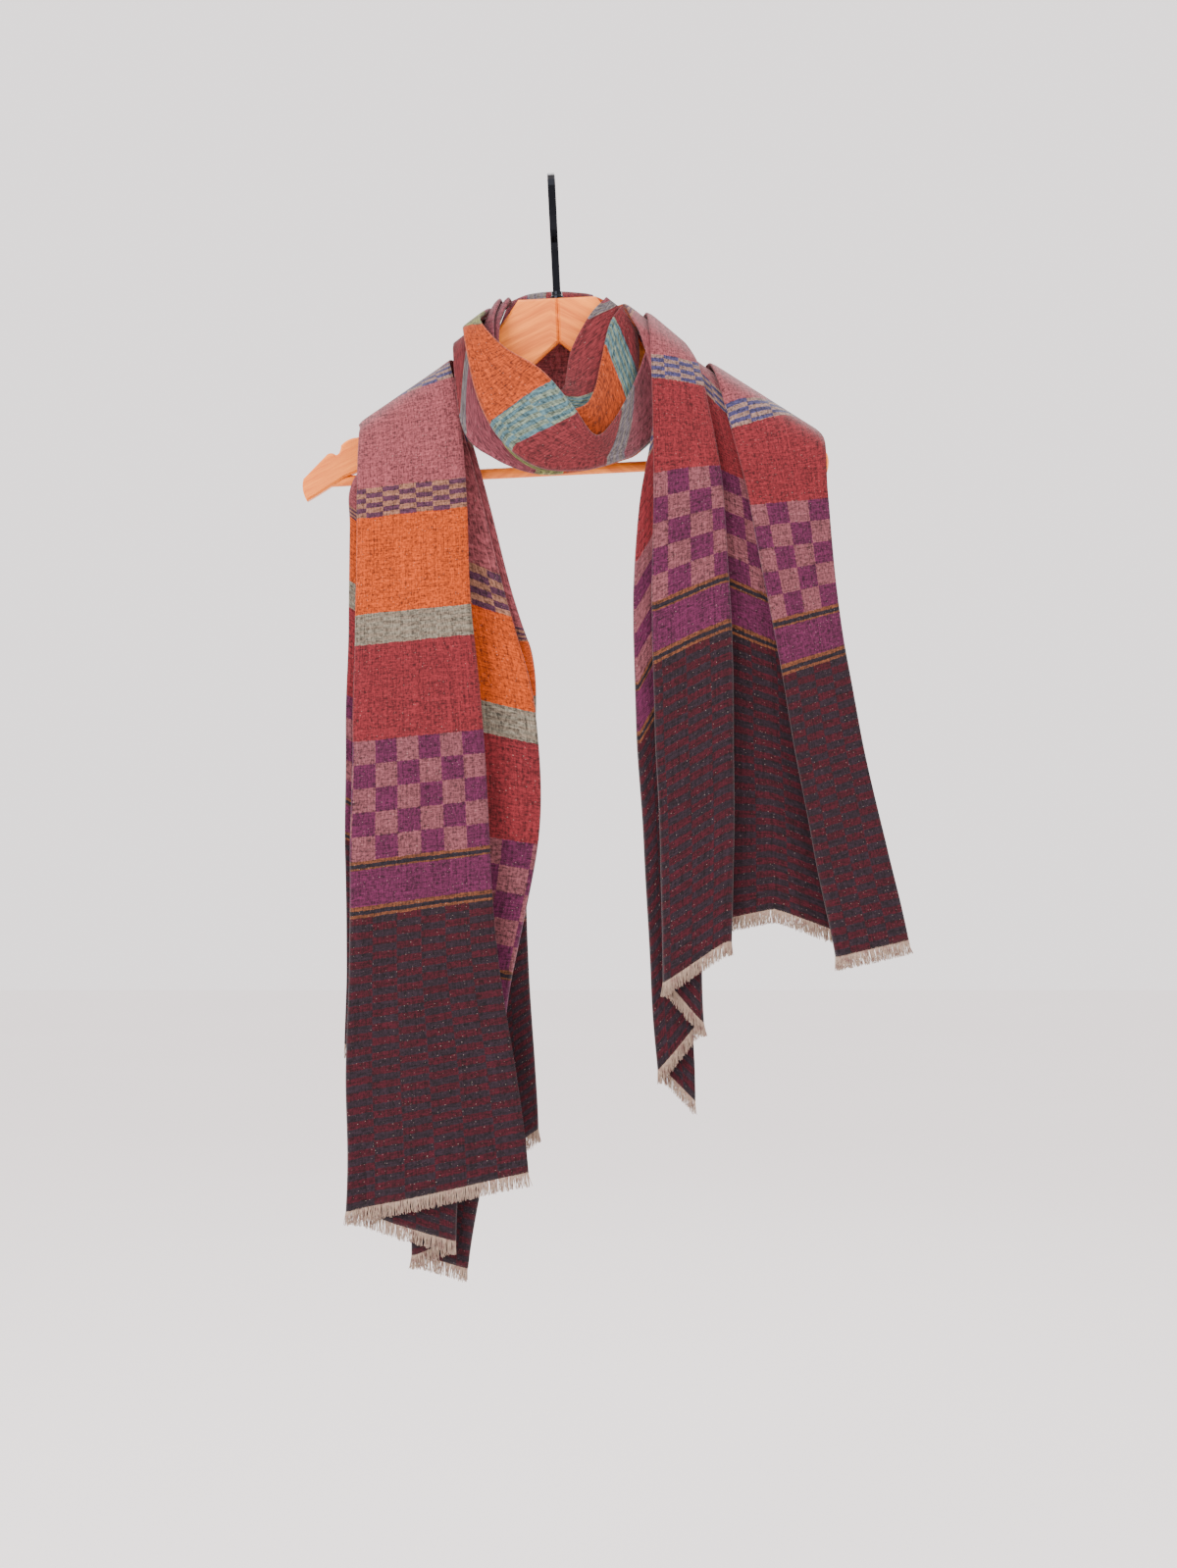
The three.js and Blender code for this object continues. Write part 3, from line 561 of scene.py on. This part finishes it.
def fringe_piece(name, stretch, settings, seed):
    """Short yarn ends along a hem, each a bent three-sided thread."""
    draw = random.Random(seed)
    steps = panel_steps(stretch)
    along = stretch["stations"]["along"]
    hem, above = (
        [p + ripple(p, settings.ripple / MM)
         for p, _ in softened(section(stretch, along[0] + at, steps), SOFTNESS)]
        for at in (0, LIFT))
    lengths = [0.0]
    for a, b in zip(hem, hem[1:]):
        lengths.append(lengths[-1] + (b - a).length)
    vertices, faces = [], []
    sides, joints = YARN_SIDES, YARN_JOINTS
    i = 1
    for k in range(settings.strands):
        at = lengths[-1] * (k + 0.5) / settings.strands
        while lengths[i] < at:
            i += 1
        share = (at - lengths[i - 1]) / (lengths[i] - lengths[i - 1])
        root = hem[i - 1].lerp(hem[i], share)
        down = (root - above[i - 1].lerp(above[i], share)).normalized()
        side = (hem[i] - hem[i - 1]).normalized()
        front = down.cross(side).normalized()
        way = (down + side * draw.uniform(-0.2, 0.2) + front * draw.uniform(-0.16, 0.16)).normalized()
        curl = side * draw.uniform(-1.3, 1.3) + front * draw.uniform(-0.9, 0.9)
        long = settings.strand_length / MM * draw.uniform(0.86, 1.02)
        first = len(vertices)
        for j in range(joints):
            t = j / (joints - 1)
            place = root - down * YARN_ROOT + way * long * t + curl * t * t
            radius = YARN_RADIUS * (1 - 0.4 * t)
            for s in range(sides):
                turn = math.tau * s / sides + k
                offset = side * math.cos(turn) + front * math.sin(turn)
                vertices.append(tuple((place + offset * radius) * MM))
        for j in range(joints - 1):
            for s in range(sides):
                a, b = first + j * sides + s, first + j * sides + (s + 1) % sides
                faces.append((a, b, b + sides, a + sides))
        faces.append(tuple(first + s for s in reversed(range(sides))))
        faces.append(tuple(first + (joints - 1) * sides + s for s in range(sides)))
    mesh = bpy.data.meshes.new(name)
    mesh.from_pydata(vertices, [], faces)
    mesh.shade_smooth()
    piece = bpy.data.objects.new(name, mesh)
    bpy.context.collection.objects.link(piece)
    bpy.ops.object.select_all(action="DESELECT")
    piece.select_set(True)
    bpy.context.view_layer.objects.active = piece
    bpy.ops.object.mode_set(mode="EDIT")
    bpy.ops.mesh.select_all(action="SELECT")
    bpy.ops.mesh.normals_make_consistent(inside=False)
    bpy.ops.object.mode_set(mode="OBJECT")
    piece.data.materials.append(yarn(settings))
    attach(piece, BODY)
    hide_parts("fringe_" + name.split("_")[-1])
    return piece


# ---- Materials ----------------------------------------------------------------------------------
class Shader:
    """Short calls for the nodes of one material."""

    def __init__(self, name):
        self.material = bpy.data.materials.new(name)
        self.material.use_nodes = True
        self.nodes = self.material.node_tree.nodes
        self.links = self.material.node_tree.links
        self.surface = self.nodes["Principled BSDF"]

    def node(self, kind, **values):
        made = self.nodes.new("ShaderNode" + kind)
        for key, value in values.items():
            setattr(made, key, value)
        return made

    def feed(self, socket, value):
        if isinstance(value, bpy.types.NodeSocket):
            self.links.new(value, socket)
        else:
            socket.default_value = value

    def sum(self, operation, a, b=0.0, c=0.0):
        made = self.node("Math", operation=operation)
        for socket, value in zip(made.inputs, (a, b, c)):
            self.feed(socket, value)
        return made.outputs[0]

    def mix(self, share, a, b, blend="MIX"):
        made = self.node("Mix", data_type="RGBA", blend_type=blend)
        self.feed(made.inputs[0], share)
        self.feed(made.inputs[6], a)
        self.feed(made.inputs[7], b)
        return made.outputs[2]

    def noise(self, vector, scale, detail=2.0, roughness=0.5):
        made = self.node("TexNoise")
        self.links.new(vector, made.inputs["Vector"])
        made.inputs["Scale"].default_value = scale
        made.inputs["Detail"].default_value = detail
        made.inputs["Roughness"].default_value = roughness
        return made.outputs["Fac"]

    def stretched(self, vector, scale):
        made = self.node("Mapping")
        self.links.new(vector, made.inputs["Vector"])
        made.inputs["Scale"].default_value = scale
        return made.outputs[0]

    def bands(self, at, bands, length, column):
        """A ramp of flat bands over 0 to length."""
        made = self.node("ValToRGB")
        self.feed(made.inputs[0], self.sum("DIVIDE", at, length))
        ramp = made.color_ramp
        ramp.interpolation = "CONSTANT"
        ramp.elements[0].color = dye(bands[0][column])
        ramp.elements.remove(ramp.elements[1])
        for band in bands[1:]:
            ramp.elements.new(band[1] / length).color = dye(band[column])
        return made.outputs[0]

    def within(self, value, low, high):
        """1 where low < value < high."""
        above = self.sum("GREATER_THAN", value, low)
        return self.sum("MULTIPLY", above, self.sum("LESS_THAN", value, high))

    def blocks(self, u, v, wide, tall):
        """1 and 0 in turn on a chequer of blocks."""
        a = self.sum("FLOOR", self.sum("DIVIDE", u, wide))
        b = self.sum("FLOOR", self.sum("DIVIDE", v, tall))
        return self.sum("FLOORED_MODULO", self.sum("ADD", a, b), 2.0)


def twill(name, settings, reverse):
    """Heathered wool twill with the shawl's bands, on a UV map in metres of cloth."""
    if name in bpy.data.materials:
        return bpy.data.materials[name]
    s = Shader(name)
    column = 3 if reverse else 2
    uv = s.node("UVMap", uv_map="Cloth").outputs[0]
    wander = s.sum("SUBTRACT", s.noise(uv, 26, 2), 0.5)
    parts = s.node("SeparateXYZ")
    s.links.new(uv, parts.inputs[0])
    fine = s.sum("SUBTRACT", s.noise(uv, 420, 1), 0.5)
    u = s.sum("MULTIPLY_ADD", fine, 1.6, s.sum("MULTIPLY", parts.outputs[0], 1000.0))
    v = s.sum("MULTIPLY_ADD", fine, 1.8, s.sum("MULTIPLY", parts.outputs[1], 1000.0))
    v = s.sum("MULTIPLY_ADD", wander, 2.2, v)
    from_end = s.sum("MINIMUM", v, s.sum("SUBTRACT", float(CLOTH_LENGTH), v))
    turn = s.sum("FLOORED_MODULO", s.sum("SUBTRACT", v, float(CYCLE_START)), float(CYCLE))
    border = s.bands(from_end, BORDER_BANDS, BORDER, column)
    middle = s.bands(turn, CYCLE_BANDS, CYCLE, column)

    starts = {band[0]: float(band[1]) for band in BORDER_BANDS}
    below = s.sum("LESS_THAN", from_end, starts["hem side stripe"])
    brick = s.sum("MULTIPLY", s.blocks(u, from_end, *BRICK), below)
    border = s.mix(s.sum("MULTIPLY", brick, 0.9), border, dye("slate"))
    for first, after in (("hem side stripe", "magenta"), ("inner stripe", "checker")):
        core = s.within(from_end, starts[first] + STRIPE_EDGE, starts[after] - STRIPE_EDGE)
        border = s.mix(core, border, dye("slate"))
    checker = starts["checker"]
    check = s.sum("MULTIPLY", s.blocks(u, s.sum("SUBTRACT", from_end, checker), *CHECK),
                  s.sum("GREATER_THAN", from_end, checker))
    border = s.mix(s.sum("MULTIPLY", check, 0.9), border, dye("tan"))

    for band in DASHED_BANDS:
        rows = s.blocks(u, s.sum("SUBTRACT", turn, band["from"]), DASH, band["row"])
        rows = s.sum("MULTIPLY", rows, s.within(turn, band["from"], band["to"]))
        share = s.sum("MULTIPLY", rows, band["shares"][reverse])
        middle = s.mix(share, middle, dye(band["dyes"][reverse]))

    base = s.mix(s.sum("LESS_THAN", from_end, float(BORDER)), middle, border)
    weft = s.noise(s.stretched(uv, (260, 760, 1)), 1.0, 3, 0.65)
    warp = s.noise(s.stretched(uv, (760, 260, 1)), 1.0, 3, 0.65)
    thread = s.sum("ADD", weft, warp)
    streak = s.noise(s.stretched(uv, (620, 16, 1)), 1.0, 3, 0.6)
    slub = s.noise(s.stretched(uv, (40, 420, 1)), 1.0, 2, 0.6)
    heather = s.node("MapRange")
    long_marks = s.sum("MULTIPLY_ADD", streak, 0.55, s.sum("MULTIPLY", slub, 0.45))
    s.feed(heather.inputs[0], s.sum("ADD", thread, long_marks))
    for socket, value in zip(heather.inputs[1:5], (1.27, 1.73, 0.3, 1.7)):
        socket.default_value = value
    shade = s.node("CombineColor")
    for socket in shade.inputs:
        s.links.new(heather.outputs[0], socket)
    base = s.mix(1.0, base, shade.outputs[0], "MULTIPLY")
    nep = s.sum("GREATER_THAN", s.noise(uv, 820, 0), 0.8)
    base = s.mix(s.sum("MULTIPLY", nep, 0.28), base, dye("nep"))
    s.links.new(base, s.surface.inputs["Base Color"])
    s.surface.inputs["Roughness"].default_value = 0.88
    s.surface.inputs["Specular IOR Level"].default_value = 0.18
    s.surface.inputs["Sheen Weight"].default_value = settings.sheen
    s.surface.inputs["Sheen Roughness"].default_value = 0.45
    soft = s.node("Bump")
    soft.inputs["Strength"].default_value = 0.5
    soft.inputs["Distance"].default_value = 0.004
    s.links.new(s.noise(s.stretched(uv, (34, 9, 1)), 1.0, 3, 0.5), soft.inputs["Height"])
    ribs = s.sum("SINE", s.sum("MULTIPLY", s.sum("ADD", parts.outputs[0], parts.outputs[1]), 4200.0))
    height = s.sum("MULTIPLY_ADD", ribs, 0.25, thread)
    bump = s.node("Bump")
    bump.inputs["Strength"].default_value = 0.5
    bump.inputs["Distance"].default_value = 0.0006
    s.links.new(height, bump.inputs["Height"])
    s.links.new(soft.outputs[0], bump.inputs["Normal"])
    s.links.new(bump.outputs[0], s.surface.inputs["Normal"])
    return s.material


def yarn(settings):
    """Beige and red yarn ends."""
    if "fringe_yarn" in bpy.data.materials:
        return bpy.data.materials["fringe_yarn"]
    s = Shader("fringe_yarn")
    place = s.node("TexCoord").outputs["Object"]
    share = s.node("MapRange")
    s.feed(share.inputs[0], s.noise(place, 240, 2))
    for socket, value in zip(share.inputs[1:5], (0.46, 0.72, 0.0, 0.8)):
        socket.default_value = value
    base = s.mix(share.outputs[0], colour("9c8472"), colour("77504a"))
    s.links.new(base, s.surface.inputs["Base Color"])
    s.surface.inputs["Roughness"].default_value = 0.9
    s.surface.inputs["Sheen Weight"].default_value = settings.sheen
    return s.material


def wood(settings):
    """Pale lacquered wood with grain along the arms."""
    s = Shader("hanger_wood")
    place = s.node("TexCoord").outputs["Object"]
    parts = s.node("SeparateXYZ")
    s.links.new(place, parts.inputs[0])
    slanted = s.node("CombineXYZ")
    s.links.new(parts.outputs[0], slanted.inputs[0])
    s.links.new(parts.outputs[1], slanted.inputs[1])
    fall = s.sum("MULTIPLY", s.sum("ABSOLUTE", parts.outputs[0]), 0.5)
    s.links.new(s.sum("ADD", parts.outputs[2], fall), slanted.inputs[2])
    grain = s.noise(s.stretched(slanted.outputs[0], (9, 60, 130)), 1.0, 6, 0.6)
    pore = s.noise(s.stretched(slanted.outputs[0], (60, 700, 900)), 1.0, 2, 0.5)
    ramp = s.node("MapRange")
    s.feed(ramp.inputs[0], s.sum("MULTIPLY_ADD", pore, 0.35, grain))
    for socket, value in zip(ramp.inputs[1:5], (0.5, 0.85, 0.0, 1.0)):
        socket.default_value = value
    base = s.mix(ramp.outputs[0], tuple(settings.wood_light), tuple(settings.wood_dark))
    s.links.new(base, s.surface.inputs["Base Color"])
    s.surface.inputs["Roughness"].default_value = 0.5
    s.surface.inputs["Specular IOR Level"].default_value = 0.3
    s.surface.inputs["Coat Weight"].default_value = 0.15
    s.surface.inputs["Coat Roughness"].default_value = 0.25
    bump = s.node("Bump")
    bump.inputs["Strength"].default_value = 0.12
    bump.inputs["Distance"].default_value = 0.0004
    s.links.new(grain, bump.inputs["Height"])
    s.links.new(bump.outputs[0], s.surface.inputs["Normal"])
    return s.material


def steel(settings):
    """Dark polished chrome with fine wipe marks."""
    s = Shader("hanger_metal")
    place = s.node("TexCoord").outputs["Object"]
    marks = s.node("MapRange")
    s.feed(marks.inputs[0], s.noise(s.stretched(place, (900, 60, 300)), 1.0, 3, 0.6))
    for socket, value in zip(marks.inputs[1:5], (0.3, 0.7, 0.14, 0.3)):
        socket.default_value = value
    s.links.new(marks.outputs[0], s.surface.inputs["Roughness"])
    s.surface.inputs["Base Color"].default_value = tuple(settings.metal)
    s.surface.inputs["Metallic"].default_value = 1.0
    return s.material


# ---- Operators ----------------------------------------------------------------------------------
class SHAWL_OT_tails(bpy.types.Operator):
    """Make the two tails that hang in front"""

    bl_idname = "shawl.tails"
    bl_label = "Tails"

    def execute(self, context):
        settings = context.scene.shawl
        cloth_piece("left_tail", LEFT_TAIL, settings, False)
        cloth_piece("right_tail", RIGHT_TAIL, settings, False)
        return {"FINISHED"}


class SHAWL_OT_neck(bpy.types.Operator):
    """Make the crossed front and inner folds of the neck loop"""

    bl_idname = "shawl.neck"
    bl_label = "Neck folds"

    def execute(self, context):
        settings = context.scene.shawl
        cloth_piece("cowl_front", COWL_FRONT, settings, True)
        cloth_piece("cowl_inner", COWL_INNER, settings, True)
        return {"FINISHED"}


class SHAWL_OT_wraps(bpy.types.Operator):
    """Make the two turns behind the neck"""

    bl_idname = "shawl.wraps"
    bl_label = "Back wraps"

    def execute(self, context):
        settings = context.scene.shawl
        cloth_piece("outer_wrap", OUTER_WRAP, settings, True)
        cloth_piece("inner_wrap", INNER_WRAP, settings, False)
        return {"FINISHED"}


class SHAWL_OT_fringes(bpy.types.Operator):
    """Make the short fringe of both hems"""

    bl_idname = "shawl.fringes"
    bl_label = "Fringes"

    def execute(self, context):
        settings = context.scene.shawl
        fringe_piece("yarn_ends_left", LEFT_TAIL, settings, 11)
        fringe_piece("yarn_ends_right", RIGHT_TAIL, settings, 12)
        return {"FINISHED"}


class SHAWL_OT_hanger(bpy.types.Operator):
    """Finish the hanger's wood and metal"""

    bl_idname = "shawl.hanger"
    bl_label = "Hanger"

    def execute(self, context):
        settings = context.scene.hanger
        finishes = {"hanger_wood": wood(settings), "hanger_metal": steel(settings)}
        for part in frame["record"]["subparts"]:
            finish = finishes.get(part["material_slot"])
            if finish:
                node = frame["nodes"][part["node"]]
                node.data.materials.clear()
                node.data.materials.append(finish)
        return {"FINISHED"}


class SHAWL_OT_stage(bpy.types.Operator):
    """Make the pale floor, the soft lights and the camera"""

    bl_idname = "shawl.stage"
    bl_label = "Stage"

    def execute(self, context):
        settings = context.scene.stage
        bpy.ops.object.select_all(action="DESELECT")
        bpy.ops.mesh.primitive_plane_add(size=14, location=(0, 0, settings.floor))
        floor = context.object
        floor.name = "floor"
        s = Shader("floor_paint")
        place = s.node("TexCoord").outputs["Object"]
        tone = s.mix(s.noise(place, 1.5, 3), colour("fbf7f6"), colour("f7f2f1"))
        s.links.new(tone, s.surface.inputs["Base Color"])
        s.surface.inputs["Roughness"].default_value = 0.9
        floor.data.materials.append(s.material)
        middle = Vector((0, 0, -0.45))
        lamps = (("key", (-1.5, -2.1, 0.7), 1.5, settings.key),
                 ("fill", (1.9, -1.7, 0.1), 1.8, settings.fill),
                 ("back", (0.4, 2.0, 0.9), 1.6, settings.fill),
                 ("top", (0.1, -0.4, 1.7), 1.4, settings.fill))
        for name, place, size, power in lamps:
            light = bpy.data.lights.new(name, "AREA")
            light.size = size
            light.energy = power
            lamp = bpy.data.objects.new(name, light)
            lamp.location = place
            lamp.rotation_euler = (middle - Vector(place)).to_track_quat("-Z", "Y").to_euler()
            context.collection.objects.link(lamp)
        world = bpy.data.worlds.new("studio")
        world.use_nodes = True
        world.node_tree.nodes["Background"].inputs[0].default_value = colour("f0e9e9")
        world.node_tree.nodes["Background"].inputs[1].default_value = 2.2
        context.scene.world = world
        view = bpy.data.cameras.new("camera")
        view.lens = 65
        view.sensor_width = 36
        eye = bpy.data.objects.new("camera", view)
        eye.location = (0.0319, -2.425, -0.468)
        eye.rotation_euler = (math.radians(90 - 1.18), 0, 0)
        context.collection.objects.link(eye)
        context.scene.camera = eye
        return {"FINISHED"}


STEPS = (SHAWL_OT_tails, SHAWL_OT_neck, SHAWL_OT_wraps, SHAWL_OT_fringes, SHAWL_OT_hanger,
         SHAWL_OT_stage)


class SHAWL_PT_panel(bpy.types.Panel):
    """Lists the shawl's settings and steps"""

    bl_idname = "SHAWL_PT_panel"
    bl_label = "Shawl on a hanger"
    bl_space_type = "VIEW_3D"
    bl_region_type = "UI"
    bl_category = "Shawl"

    def draw(self, context):
        scene = context.scene
        for group in (scene.shawl, scene.hanger, scene.stage):
            box = self.layout.box()
            for key in type(group).__annotations__:
                box.prop(group, key)
        for step in STEPS:
            self.layout.operator(step.bl_idname)


CLASSES = (ShawlSettings, HangerSettings, StageSettings) + STEPS + (SHAWL_PT_panel,)


def register():
    for item in CLASSES:
        bpy.utils.register_class(item)
    bpy.types.Scene.shawl = bpy.props.PointerProperty(type=ShawlSettings)
    bpy.types.Scene.hanger = bpy.props.PointerProperty(type=HangerSettings)
    bpy.types.Scene.stage = bpy.props.PointerProperty(type=StageSettings)


def unregister():
    for name in ("shawl", "hanger", "stage"):
        delattr(bpy.types.Scene, name)
    for item in reversed(CLASSES):
        bpy.utils.unregister_class(item)


def main():
    register()
    bpy.ops.shawl.tails()
    bpy.ops.shawl.neck()
    bpy.ops.shawl.wraps()
    bpy.ops.shawl.fringes()
    bpy.ops.shawl.hanger()
    bpy.ops.shawl.stage()


if __name__ == "__main__":
    main()
